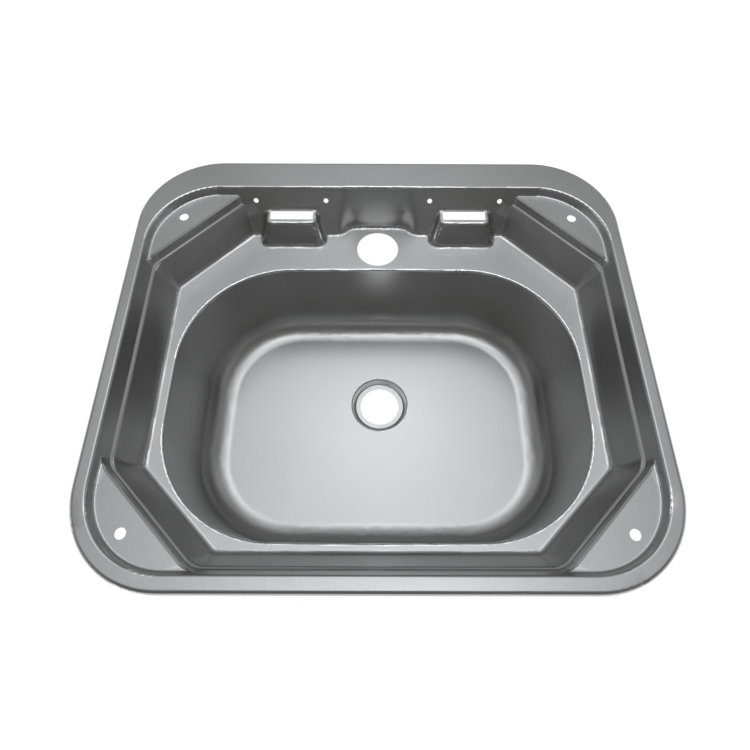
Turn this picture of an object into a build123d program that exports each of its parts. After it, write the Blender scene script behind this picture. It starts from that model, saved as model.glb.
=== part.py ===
from build123d import *
import os
from math import cos, radians, sqrt, tan, tanh

# Inset camper sink: one deep-drawn stainless sheet with a rolled rim, and the foam strip under that rim.
# Millimetres. X runs along the rim, Y to the back, Z up. The origin is the middle of the rim's outline
# on the worktop, and every depth is measured down from the rim's upper face.

# Sheet and seal
sheet = 0.8
seal_thickness = 4.0
seal_width = 5.0
seal_clearance = 0.2
seal_joint = 0.6

# Rim
rim_length = 420.0
rim_width = 370.0
rim_corner_r = 69.0
rim_edge_r = 3.6
lip_to_worktop = 0.5
side_band = 11.0
front_band = 12.0
back_band = 31.0
rim_bend_r = 2.2

# Well: corner lands, the narrow sloping step below them, and the ledge round the bowl
well_corner_r = 59.0
upper_draft = 17.5
lower_draft = 21.8
back_draft = 22.8
land_leg = 73.0
land_depth = 7.2
land_back_ease = 0.1
land_back_lead = 0.06
land_foot_r = 2.0
land_edge = 1.2
rear_land_length = 83.0
step_depth = 14.2
step_width = 2.0
step_draft = 59.0
step_foot_r = 1.5
step_nose_r = 2.8
well_upright_r = 18.0
ledge_depth = 43.0
ledge_foot_r = 4.5

# Tap niche in the back wall, and the tap hole in the ledge before it
niche_half_width = 30.5
niche_draft = 12.0
niche_turn = 5.0
niche_fade = 15.0
niche_point_gap = 4.0
tap_hole_d = 39.0
tap_hole_from_back = 34.9

# Hinge bosses on the back wall
boss_from_side = 119.2
boss_depth = 20.0
boss_top_width = 46.4
boss_top_reach = 23.7
boss_side_draft = 15.1
boss_front_draft = 20.3
boss_upright_r = 6.0
boss_top_r = 3.0
boss_join_r = 5.0
hinge_slot_length = 39.4
hinge_slot_width = 9.9
hinge_slot_from_back = 14.7
hinge_slot_r = 1.0
hinge_hole_d = 4.5
hinge_hole_pitch = 64.2
hinge_hole_depth = 12.0

# Bowl
side_ledge = 9.24
front_ledge = 7.14
back_ledge = 41.62
bowl_bow = 2.5
bowl_corner_r = 93.0
bowl_end_draft = 8.0
bowl_side_draft = 4.2
bowl_depth = 130.0
bowl_floor_r = 24.0
bowl_edge_r = 2.2

# Drain
drain_x = 2.6
drain_behind_middle = 22.0
drain_recess_d = 55.0
drain_recess_depth = 6.0
drain_recess_draft = 30.0
drain_lip_r = 2.0
drain_seat_r = 1.5
drain_hole_d = 38.5

# Screw holes in the corner lands
corner_hole_d = 8.0
corner_hole_from_side = 26.25
corner_hole_from_front = 26.2
corner_hole_from_back = 28.8

# Reach of a punch through the sheet, how many times a cutter passes what it cuts,
# and how near counts as lying on a line
punch = 3.0
over = 4
near = 0.02


def slope(draft):
    return tan(radians(draft))


# Lines that the pieces share
rim_top = seal_thickness + sheet
well_half = rim_length / 2 - side_band
well_front = -rim_width / 2 + front_band
well_back = rim_width / 2 - back_band
well_mid = (well_front + well_back) / 2
behind_wall = rim_width / 2
step_end = step_depth + step_width / slope(step_draft)
step_run = step_depth * slope(upper_draft) + step_width
ledge_run = step_run + (ledge_depth - step_end) * slope(lower_draft)
boss_x = well_half - boss_from_side
boss_top_front = well_back - boss_top_reach
bowl_half = well_half - ledge_run - side_ledge
bowl_front = well_front + ledge_run + front_ledge
bowl_back = well_back - ledge_depth * slope(back_draft) - back_ledge
bowl_y = (bowl_front + bowl_back) / 2
drain_y = bowl_y + drain_behind_middle
corner_x = well_half - corner_hole_from_side
corner_front = well_front + corner_hole_from_front
corner_back = well_back - corner_hole_from_back


def level(depth):
    return Plane.XY.offset(rim_top - depth)


def grown(skin, draft):
    """Level distance between a drafted wall's upper skin and the skin that lies this far under it."""
    return skin / cos(radians(draft))


def edges_at(part, depth):
    z = rim_top - depth
    return part.edges().filter_by(
        lambda e: abs(e.bounding_box().min.Z - z) < near and abs(e.bounding_box().max.Z - z) < near
    )


def upper_run(depth, skin):
    """How far the well's side, front and corner walls have come in at a depth above the step."""
    return depth * slope(upper_draft) - grown(skin, upper_draft)


def lower_run(depth, skin):
    """How far those walls have come in at a depth below the step."""
    return step_run + (depth - step_end) * slope(lower_draft) - grown(skin, lower_draft)


def bend_depth(depth, above, below, skin):
    """Depth of the bend between two drafts on the skin under the one where it lies at this depth."""
    return depth + (grown(skin, below) - grown(skin, above)) / (slope(below) - slope(above))


def back_line(depth, draft, skin):
    return well_back - depth * slope(draft) + grown(skin, draft)


def on_back_wall(edge, skin):
    points = (edge @ 0, edge @ 0.5, edge @ 1)
    return all(abs(back_line(rim_top - p.Z, back_draft, skin) - p.Y) < 2 * near for p in points)


def rim_opening(depth, skin):
    """Rounded opening that the rim turns down into, its back a little behind the back wall."""
    run = upper_run(depth, skin)
    front = well_front + run
    back = back_line(depth, back_draft, skin) + (depth - skin) * land_back_ease + land_back_lead
    with BuildSketch(level(depth)) as opening:
        with Locations((0, (front + back) / 2)):
            RectangleRounded(2 * (well_half - run), back - front, well_corner_r - run)
    return opening.sketch


def octagon(depth, run, upright_r, flare=0.0):
    """Well outline with its corners cut off at 45 degrees, run on behind the back wall."""
    side = well_half - run
    front = well_front + run
    reach = well_half + well_mid - well_front - land_leg - run * sqrt(2) + flare * sqrt(2)
    at_side = reach - side
    at_front = reach - (well_mid - front)
    at_back = reach - (behind_wall - well_mid)
    with BuildSketch(level(depth)) as outline:
        with BuildLine():
            Polyline(
                (side, well_mid + at_side),
                (at_back, behind_wall),
                (-at_back, behind_wall),
                (-side, well_mid + at_side),
                (-side, well_mid - at_side),
                (-at_front, front),
                (at_front, front),
                (side, well_mid - at_side),
                close=True,
            )
        make_face()
        fillet(outline.vertices().filter_by(lambda v: v.Y < behind_wall - near), upright_r)
    return outline.sketch


def back_wall(skin):
    """What stands behind the back wall: straight at the rim, stepped back round the tap at its foot."""
    foot_depth = ledge_depth + skin
    beside = back_line(foot_depth, back_draft, skin)
    behind_tap = back_line(foot_depth, niche_draft, skin)
    top = back_line(0, back_draft, skin)
    rear = behind_wall + back_band
    turn = niche_half_width + niche_fade
    steps = int(2 * turn / niche_point_gap)
    stations = [-well_half, -boss_x - boss_top_width, -boss_x, -turn - 2 * niche_point_gap]
    stations += [-turn + 2 * turn * k / steps for k in range(steps + 1)]
    stations += [turn + 2 * niche_point_gap, boss_x, boss_x + boss_top_width, well_half]
    foot = [
        (x, beside + (behind_tap - beside) * (1 + tanh((niche_half_width - abs(x)) / niche_turn)) / 2)
        for x in stations
    ]
    with BuildPart() as wall:
        with BuildSketch(level(0)):
            with BuildLine():
                Line((-well_half, top), (well_half, top))
                Polyline((well_half, top), (well_half, rear), (-well_half, rear), (-well_half, top))
            make_face()
        with BuildSketch(level(foot_depth)):
            with BuildLine():
                Spline(*foot)
                Polyline(foot[-1], (well_half, rear), (-well_half, rear), foot[0])
            make_face()
        loft(ruled=True)
    return wall.part


def hinge_bosses(skin):
    """The two raised bosses, as the solids that the sheet's chosen skin stands round."""
    with BuildPart() as bosses:
        for depth in (ledge_depth + skin, boss_depth + skin):
            drop = depth - boss_depth
            width = boss_top_width + 2 * (drop * slope(boss_side_draft) - grown(skin, boss_side_draft))
            front = boss_top_front - drop * slope(boss_front_draft) + grown(skin, boss_front_draft)
            with BuildSketch(level(depth)):
                with Locations((boss_x, (front + behind_wall) / 2)):
                    Rectangle(width, behind_wall - front)
        loft(ruled=True)
        uprights = bosses.edges().filter_by(lambda e: abs(e.tangent_at(0.5).Z) > 0.5)
        fillet(uprights.sort_by(Axis.Y)[:2], boss_upright_r - skin)
        top = bosses.faces().sort_by(Axis.Z)[-1]
        fillet(top.edges().filter_by(lambda e: e.center().Y < behind_wall - near), boss_top_r - skin)
        mirror(about=Plane.YZ)
    return bosses.part


def bowl_outline(depth, skin):
    """Rounded rectangle with slightly bowed sides, smaller at each depth by the walls' draft."""
    fall = depth - ledge_depth
    half_x = bowl_half - fall * slope(bowl_end_draft) + grown(skin, bowl_end_draft)
    half_y = (bowl_back - bowl_front) / 2 - fall * slope(bowl_side_draft) + grown(skin, bowl_side_draft)
    corner = bowl_corner_r - fall * slope((bowl_end_draft + bowl_side_draft) / 2) + skin
    x = half_x - bowl_bow
    y = half_y - bowl_bow
    with BuildSketch(level(depth)) as outline:
        with BuildLine():
            ThreePointArc((x, bowl_y + y), (0, bowl_y + half_y), (-x, bowl_y + y))
            ThreePointArc((-x, bowl_y + y), (-half_x, bowl_y), (-x, bowl_y - y))
            ThreePointArc((-x, bowl_y - y), (0, bowl_y - half_y), (x, bowl_y - y))
            ThreePointArc((x, bowl_y - y), (half_x, bowl_y), (x, bowl_y + y))
        make_face()
        fillet(outline.vertices(), corner)
    return outline.sketch


def hollow(skin):
    """The space inside the sink below the rim, bounded by the upper skin or by a skin that far under it."""
    land = land_depth + skin
    step_top = bend_depth(step_depth, upper_draft, step_draft, skin)
    step_low = bend_depth(step_end, step_draft, lower_draft, skin)
    ledge = ledge_depth + skin
    floor = bowl_depth + skin
    seat = floor + drain_recess_depth
    wall = back_wall(skin)

    # Corner lands under the rim, kept clear of the middle of the back wall
    with BuildPart() as lands:
        loft([rim_opening(0, skin), rim_opening(land, skin)], ruled=True)
        fillet(lands.faces().sort_by(Axis.Z)[0].edges(), land_foot_r + skin)
        add(wall, mode=Mode.SUBTRACT)
        with Locations((0, behind_wall, rim_top)):
            Box(2 * (well_half - rear_land_length), over * back_band, over * land, mode=Mode.SUBTRACT)

    # Well walls with the step, then the hinge bosses, then the foot of every wall
    upright = well_upright_r + skin
    lower_upright = upright - (ledge - step_low) * slope(lower_draft)
    below_land = land + land_edge
    with BuildPart() as well:
        loft(
            [
                octagon(0, upper_run(0, skin), upright, land_edge),
                octagon(land, upper_run(land, skin), upright, land_edge),
                octagon(below_land, upper_run(below_land, skin), upright),
                octagon(step_top, upper_run(step_top, skin), upright),
                octagon(step_low, lower_run(step_low, skin), upright),
                octagon(ledge, lower_run(ledge, skin), lower_upright),
            ],
            ruled=True,
        )
        add(wall, mode=Mode.SUBTRACT)
        for depth, radius in ((step_top, step_foot_r + skin), (step_low, step_nose_r - skin)):
            fillet(edges_at(well, depth).filter_by(lambda e: not on_back_wall(e, skin)), radius)
        add(hinge_bosses(skin), mode=Mode.SUBTRACT)
        boss_foot_half = boss_top_width / 2 + (ledge_depth - boss_depth) * slope(boss_side_draft)
        joins = well.edges().filter_by(
            lambda e: on_back_wall(e, skin)
            and abs(abs((e @ 0.5).X) - boss_x) < boss_foot_half
            and rim_top - ledge + near < (e @ 0.5).Z < rim_top - boss_depth + near
        )
        fillet(joins, boss_join_r + skin)
        fillet(edges_at(well, ledge), ledge_foot_r + skin)

    with BuildPart() as bowl:
        loft([bowl_outline(ledge, skin), bowl_outline(floor, skin)], ruled=True)
        fillet(bowl.faces().sort_by(Axis.Z)[0].edges(), bowl_floor_r + skin)
        for depth in (floor, seat):
            recess_run = (depth - bowl_depth) * slope(drain_recess_draft)
            with BuildSketch(level(depth)):
                with Locations((drain_x, drain_y)):
                    Circle(drain_recess_d / 2 - recess_run + grown(skin, drain_recess_draft))
        loft(ruled=True)
        lip = edges_at(bowl, floor).filter_by(GeomType.CIRCLE).sort_by(SortBy.RADIUS)[0]
        fillet(lip, drain_lip_r - skin)
        fillet(edges_at(bowl, seat), drain_seat_r + skin)

    with BuildPart() as space:
        add(lands.part)
        add(well.part)
        add(bowl.part)
        walls = space.faces().filter_by(
            lambda f: rim_top - floor + bowl_floor_r < f.center().Z < rim_top - ledge - bowl_edge_r
        )
        rim = edges_at(space, ledge).filter_by(lambda e: any(e in f.edges() for f in walls))
        fillet(rim, bowl_edge_r - skin)
    return space.part


os.makedirs("parts", exist_ok=True)

# Pressed sheet: the rolled rim, then the skin under the hollow less the hollow itself, then the punched holes
with BuildPart() as sink_pressing:
    with BuildSketch(level(0)):
        RectangleRounded(rim_length, rim_width, rim_corner_r)
    extrude(amount=lip_to_worktop - rim_top)
    fillet(sink_pressing.faces().sort_by(Axis.Z)[-1].edges(), rim_edge_r)
    offset(amount=-sheet, openings=sink_pressing.faces().sort_by(Axis.Z)[0])
    add(hollow(sheet))
    add(hollow(0), mode=Mode.SUBTRACT)

    # Rim bend, on both skins
    for depth, radius in ((0, rim_bend_r), (sheet, rim_bend_r - sheet)):
        bend = edges_at(sink_pressing, depth).filter_by(
            lambda e: all(
                abs(p.X) < well_half + 2 * sheet and well_front - 2 * sheet < p.Y < well_back + 2 * sheet
                for p in (e @ 0, e @ 1)
            )
        )
        fillet(bend, radius)

    # Tap hole, drain hole and corner screw holes, punched downwards
    with Locations(level(ledge_depth)):
        with Locations((0, well_back - tap_hole_from_back)):
            Hole(tap_hole_d / 2, punch)
    with Locations(level(bowl_depth + drain_recess_depth)):
        with Locations((drain_x, drain_y)):
            Hole(drain_hole_d / 2, punch)
    with Locations(level(land_depth)):
        with Locations((0, (corner_front + corner_back) / 2)):
            with GridLocations(2 * corner_x, corner_back - corner_front, 2, 2):
                Hole(corner_hole_d / 2, punch)

    # Slot through the top of each hinge boss
    with BuildSketch(level(boss_depth)):
        slot_y = well_back - hinge_slot_from_back
        with Locations((-boss_x, slot_y), (boss_x, slot_y)):
            RectangleRounded(hinge_slot_length, hinge_slot_width, hinge_slot_r)
    extrude(amount=punch, both=True, mode=Mode.SUBTRACT)

    # Two hinge screw holes over each boss, punched towards the back
    hinge_rows = Plane.XZ.offset(-back_line(hinge_hole_depth, back_draft, 0))
    with BuildSketch(hinge_rows):
        for x in (-boss_x, boss_x):
            for side in (-1, 1):
                with Locations((x + side * hinge_hole_pitch / 2, rim_top - hinge_hole_depth)):
                    Circle(hinge_hole_d / 2)
    extrude(amount=punch, both=True, mode=Mode.SUBTRACT)
sink_pressing.part.label = "sink_pressing"
export_step(sink_pressing.part, "parts/sink_pressing.step")

# Foam strip stuck under the rim inside its rolled lip, its two ends butted at the middle of the back
seal_inset = rim_edge_r + seal_clearance
seal_length = rim_length - 2 * seal_inset
seal_depth = rim_width - 2 * seal_inset
seal_corner_r = rim_corner_r - seal_inset
with BuildPart() as rim_seal:
    with BuildSketch():
        RectangleRounded(seal_length, seal_depth, seal_corner_r)
        offset(amount=-seal_width, mode=Mode.SUBTRACT)
        with Locations((0, seal_depth / 2)):
            Rectangle(seal_joint, over * seal_width, mode=Mode.SUBTRACT)
    extrude(amount=seal_thickness)
rim_seal.part.label = "rim_seal"
export_step(rim_seal.part, "parts/rim_seal.step")
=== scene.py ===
import math

import bmesh
import bpy
from mathutils import Matrix, Vector


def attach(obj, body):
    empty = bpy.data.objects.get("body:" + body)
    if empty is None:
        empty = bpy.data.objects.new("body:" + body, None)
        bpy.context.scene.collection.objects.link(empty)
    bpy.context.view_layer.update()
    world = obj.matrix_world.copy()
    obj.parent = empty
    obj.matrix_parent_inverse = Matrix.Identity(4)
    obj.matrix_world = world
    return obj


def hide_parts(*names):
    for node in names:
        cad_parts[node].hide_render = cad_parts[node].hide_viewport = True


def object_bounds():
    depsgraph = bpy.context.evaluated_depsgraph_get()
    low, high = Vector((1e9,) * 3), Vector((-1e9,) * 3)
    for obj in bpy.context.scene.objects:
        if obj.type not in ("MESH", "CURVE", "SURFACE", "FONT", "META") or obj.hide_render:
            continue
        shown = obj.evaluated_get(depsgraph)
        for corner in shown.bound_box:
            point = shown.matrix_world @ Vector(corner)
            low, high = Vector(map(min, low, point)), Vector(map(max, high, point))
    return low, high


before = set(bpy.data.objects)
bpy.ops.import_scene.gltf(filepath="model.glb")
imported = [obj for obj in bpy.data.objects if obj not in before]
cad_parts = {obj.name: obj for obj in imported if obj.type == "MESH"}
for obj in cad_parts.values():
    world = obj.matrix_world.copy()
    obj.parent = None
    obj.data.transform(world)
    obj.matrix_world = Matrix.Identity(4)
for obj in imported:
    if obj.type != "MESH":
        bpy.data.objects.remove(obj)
start_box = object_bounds()

# Sink pressing: the rim, corner lands, well, ledge and bowl, all drawn from one sheet.
# It is stainless steel, punched for the tap, the drain and its fixings, with a satin finish.
# The CAD facets are merged and shaded as the smooth sheet they stand for.
merge_distance = 1e-6
sharp_angle = math.radians(24)
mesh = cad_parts["sink_pressing"].data.copy()
mesh.materials.clear()
work = bmesh.new()
work.from_mesh(mesh)
bmesh.ops.remove_doubles(work, verts=work.verts, dist=merge_distance)

# Each facet keeps its bend in 1/m, above zero where it bulges outwards, so that the tight
# bends can take a painted highlight.
# Smaller turns belong to wide curves and larger ones to cut edges.
least_turn, most_turn = math.radians(12.5), math.radians(42)
least_width = 0.001
bend_layer = work.faces.layers.float.new("bend")
for facet in work.faces:
    for edge in facet.edges:
        turn = edge.calc_face_angle_signed(0)
        width = max(2 * facet.calc_area() / edge.calc_length(), least_width)
        if least_turn < abs(turn) < most_turn and abs(turn / width) > abs(facet[bend_layer]):
            facet[bend_layer] = turn / width
work.to_mesh(mesh)
work.free()
if mesh.has_custom_normals:
    mesh.attributes.remove(mesh.attributes["custom_normal"])
mesh.shade_smooth()
mesh.set_sharp_from_angle(angle=sharp_angle)
pressing = bpy.data.objects.new("pressing", mesh)
bpy.context.scene.collection.objects.link(pressing)
weighted = pressing.modifiers.new("weighted", "WEIGHTED_NORMAL")
weighted.keep_sharp = True
weighted.mode = "FACE_AREA_WITH_ANGLE"


def add_node(tree, kind, **values):
    """Add a node and set its properties."""
    made = tree.nodes.new(kind)
    for name, value in values.items():
        setattr(made, name, value)
    return made


def feed(tree, socket, value):
    """Link another node's socket to this one, or set a plain value on it."""
    if isinstance(value, bpy.types.NodeSocket):
        tree.links.new(value, socket)
    else:
        socket.default_value = value


def noise(tree, coord, scale, detail):
    """Cloudy noise of a scale in 1/m."""
    made = add_node(tree, "ShaderNodeTexNoise")
    feed(tree, made.inputs["Vector"], coord)
    feed(tree, made.inputs["Scale"], scale)
    feed(tree, made.inputs["Detail"], detail)
    return made.outputs["Fac"]


def spread(tree, value, low, high, start=0.3, end=0.7):
    """Map a value, by default the middle of a noise, to a range of another quantity."""
    made = add_node(tree, "ShaderNodeMapRange")
    feed(tree, made.inputs["Value"], value)
    feed(tree, made.inputs["From Min"], start)
    feed(tree, made.inputs["From Max"], end)
    feed(tree, made.inputs["To Min"], low)
    feed(tree, made.inputs["To Max"], high)
    return made.outputs["Result"]


def combine(tree, operation, *values):
    """Work out one sum, product or other step from sockets or plain numbers."""
    made = add_node(tree, "ShaderNodeMath", operation=operation)
    for socket, value in zip(made.inputs, values):
        feed(tree, socket, value)
    return made.outputs[0]


def mix_tones(tree, factor, first, second, way="MIX"):
    """Mix two tones, each a socket or a plain colour."""
    made = add_node(tree, "ShaderNodeMix", data_type="RGBA", blend_type=way)
    feed(tree, made.inputs["Factor"], factor)
    feed(tree, made.inputs["A"], first)
    feed(tree, made.inputs["B"], second)
    return made.outputs["Result"]


def relief(tree, height, depth, strength):
    """A surface roughened by a height pattern, with its depth in metres."""
    made = add_node(tree, "ShaderNodeBump")
    feed(tree, made.inputs["Height"], height)
    feed(tree, made.inputs["Distance"], depth)
    feed(tree, made.inputs["Strength"], strength)
    return made.outputs["Normal"]


dull_steel = (0.535, 0.536, 0.537, 1)
pale_steel = (0.575, 0.577, 0.580, 1)
# A lighter steel painted on the tight bends as a highlight.
highlight_steel = (0.80, 0.803, 0.806, 1)
dark_fleck, light_fleck = 0.965, 1.035
# Outer bends get a painted highlight between these two values in 1/m, inner ones a share of
# it.
bend_start, bend_full = 70, 130
inner_share = 0.5
smooth_satin, rough_satin = 0.29, 0.33
grain_roughness = 0.03
highlight_roughness = -0.14
grain_depth, grain_strength = 0.00002, 0.2

steel = bpy.data.materials.new("satin stainless")
steel.use_nodes = True
tree = steel.node_tree
shader = tree.nodes["Principled BSDF"]
coord = add_node(tree, "ShaderNodeTexCoord").outputs["Object"]
cloud = noise(tree, coord, scale=14, detail=3)
mottle = noise(tree, coord, scale=950, detail=3)
grain = noise(tree, coord, scale=2600, detail=2)
# Painted highlight mask: tight outer bends fully, tight inner bends in part, with a smoother
# finish there.
bend = add_node(tree, "ShaderNodeAttribute", attribute_name="bend").outputs["Fac"]
outer_bend_highlight = spread(tree, bend, 0, 1, bend_start, bend_full)
inner_bend_highlight = spread(tree, bend, inner_share, 0, -bend_full, -bend_start)
painted_highlight = combine(tree, "MAXIMUM", outer_bend_highlight, inner_bend_highlight)
clouded = mix_tones(tree, spread(tree, cloud, 0, 1), dull_steel, pale_steel)
flecks = spread(tree, mottle, dark_fleck, light_fleck)
flecked = mix_tones(tree, 1, clouded, flecks, way="MULTIPLY")
satin = spread(tree, cloud, smooth_satin, rough_satin)
grained = combine(tree, "ADD", satin, spread(tree, grain, -grain_roughness, grain_roughness))
roughness = combine(tree, "MULTIPLY_ADD", painted_highlight, highlight_roughness, grained)
feed(tree, shader.inputs["Metallic"], 1)
# The base colour turns lighter on the bends: a painted highlight.
feed(tree, shader.inputs["Base Color"], mix_tones(tree, painted_highlight, flecked, highlight_steel))
feed(tree, shader.inputs["Roughness"], roughness)
feed(tree, shader.inputs["Normal"], relief(tree, grain, grain_depth, grain_strength))
mesh.materials.append(steel)
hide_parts("sink_pressing")
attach(pressing, "root")

# Rim seal: the strip that keeps water out between the rim and the worktop.
# It is black closed-cell foam, and the CAD node itself is shown with the foam on it.
# It is stuck to the underside of the rim inside the lip, its ends butted at the back.
foam_skin = (0.035, 0.035, 0.037, 1)
foam_pore = (0.012, 0.012, 0.013, 1)
foam_roughness = 0.9
pore_scale = 1800
pore_depth, pore_strength = 0.0002, 0.5

foam = bpy.data.materials.new("black foam")
foam.use_nodes = True
tree = foam.node_tree
shader = tree.nodes["Principled BSDF"]
pores = add_node(tree, "ShaderNodeTexVoronoi")
feed(tree, pores.inputs["Vector"], add_node(tree, "ShaderNodeTexCoord").outputs["Object"])
feed(tree, pores.inputs["Scale"], pore_scale)
pore = pores.outputs["Distance"]
feed(tree, shader.inputs["Base Color"], mix_tones(tree, pore, foam_skin, foam_pore))
feed(tree, shader.inputs["Roughness"], foam_roughness)
feed(tree, shader.inputs["Normal"], relief(tree, pore, pore_depth, pore_strength))
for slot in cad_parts["rim_seal"].material_slots:
    slot.material = foam

# Floor: a plain white plane just below the bowl, which keeps a faint shadow.
# It glows for camera, glossy and transmission rays, so it shows white, in the steel too.
floor_size, floor_gap = 20, 0.001
floor_grey = (0.2, 0.2, 0.2, 1)
glow_white = (1, 1, 1, 1)
glow_level = 0.94
bpy.ops.mesh.primitive_plane_add(size=floor_size, location=(0, 0, start_box[0].z - floor_gap))
floor = bpy.context.object
floor.name = "floor"
white = bpy.data.materials.new("white floor")
white.use_nodes = True
tree = white.node_tree
tree.nodes.clear()
path = add_node(tree, "ShaderNodeLightPath").outputs
mirrored = combine(tree, "MAXIMUM", path["Is Glossy Ray"], path["Is Transmission Ray"])
seen = combine(tree, "MAXIMUM", path["Is Camera Ray"], mirrored)
lit = add_node(tree, "ShaderNodeBsdfDiffuse")
feed(tree, lit.inputs["Color"], floor_grey)
glow = add_node(tree, "ShaderNodeEmission")
feed(tree, glow.inputs["Color"], glow_white)
feed(tree, glow.inputs["Strength"], combine(tree, "MULTIPLY", seen, glow_level))


def add_shaders(tree, first, second):
    """Add up two shader nodes."""
    made = add_node(tree, "ShaderNodeAddShader")
    feed(tree, made.inputs[0], first.outputs[0])
    feed(tree, made.inputs[1], second.outputs[0])
    return made.outputs[0]


out = add_node(tree, "ShaderNodeOutputMaterial")
feed(tree, out.inputs["Surface"], add_shaders(tree, lit, glow))
floor.data.materials.append(white)

# Light: soft lamps round a dim, warm room, strongest nearly overhead and high behind the sink.
# A lamp is a round patch of the sky: its turn from +X and its height in degrees, its level,
# and its narrowness, which is the power of the cosine of the angle from its middle.
soft_lamps = [
    (-38, 81, 2.90, 110), (-142, 81, 2.00, 110),
    (90, 69, 1.10, 45), (87, 72, 1.35, 200),
    (45, 64, 0.66, 40), (135, 64, 0.64, 40),
    (0, 69, 0.56, 40), (180, 69, 0.56, 40),
    (90, 50, 0.47, 30),
    (45, 28, 0.29, 20), (135, 28, 0.29, 20),
    (90, 28, 0.13, 20),
    (45, 8, 0.12, 20), (135, 8, 0.12, 20),
    (0, 8, 0.60, 20), (180, 8, 0.60, 20),
]
lamp_white = (0.96, 0.978, 1.0, 1)
room_white = (1.0, 0.975, 0.94, 1)
room_level = 0.15
world = bpy.data.worlds.new("studio")
bpy.context.scene.world = world
world.use_nodes = True
tree = world.node_tree
tree.nodes.clear()
sky = add_node(tree, "ShaderNodeTexCoord").outputs["Generated"]
lamp_level = 0
for around, height, level, narrowness in soft_lamps:
    turn, rise = math.radians(around), math.radians(height)
    middle = (math.cos(rise) * math.cos(turn), math.cos(rise) * math.sin(turn), math.sin(rise))
    toward = add_node(tree, "ShaderNodeVectorMath", operation="DOT_PRODUCT")
    feed(tree, toward.inputs[0], sky)
    feed(tree, toward.inputs[1], middle)
    near = combine(tree, "MAXIMUM", toward.outputs["Value"], 0)
    patch = combine(tree, "POWER", near, narrowness)
    lamp_level = combine(tree, "MULTIPLY_ADD", patch, level, lamp_level)
lamps = add_node(tree, "ShaderNodeBackground")
feed(tree, lamps.inputs["Color"], lamp_white)
feed(tree, lamps.inputs["Strength"], lamp_level)
room = add_node(tree, "ShaderNodeBackground")
feed(tree, room.inputs["Color"], room_white)
feed(tree, room.inputs["Strength"], room_level)
out = add_node(tree, "ShaderNodeOutputWorld")
feed(tree, out.inputs["Surface"], add_shaders(tree, room, lamps))

# Camera: fitted to the rim and the holes in the photograph.
# Its lens is given in pixels of that square picture, its place in metres.
photo_width = 750
lens_px = 514.03
sensor_width = 36
near_clip = 0.01
camera_place = Vector((-0.00296, -0.19437, 0.35491))
pitch, yaw, roll = (math.radians(angle) for angle in (65.211, -0.235, 0.39))
turned = Matrix.Rotation(yaw, 3, "Z")
forward = turned @ Vector((0, math.cos(pitch), -math.sin(pitch)))
level_right = turned @ Vector((1, 0, 0))
level_up = level_right.cross(forward)
right = math.cos(roll) * level_right + math.sin(roll) * level_up
up = math.cos(roll) * level_up - math.sin(roll) * level_right
camera = bpy.data.objects.new("camera", bpy.data.cameras.new("camera"))
bpy.context.scene.collection.objects.link(camera)
camera.data.sensor_width = sensor_width
camera.data.lens = lens_px / photo_width * sensor_width
camera.data.clip_start = near_clip
aimed = Matrix((right, up, -forward)).transposed()
camera.matrix_world = Matrix.Translation(camera_place) @ aimed.to_4x4()
bpy.context.scene.camera = camera
bpy.context.scene.view_settings.view_transform = "Standard"
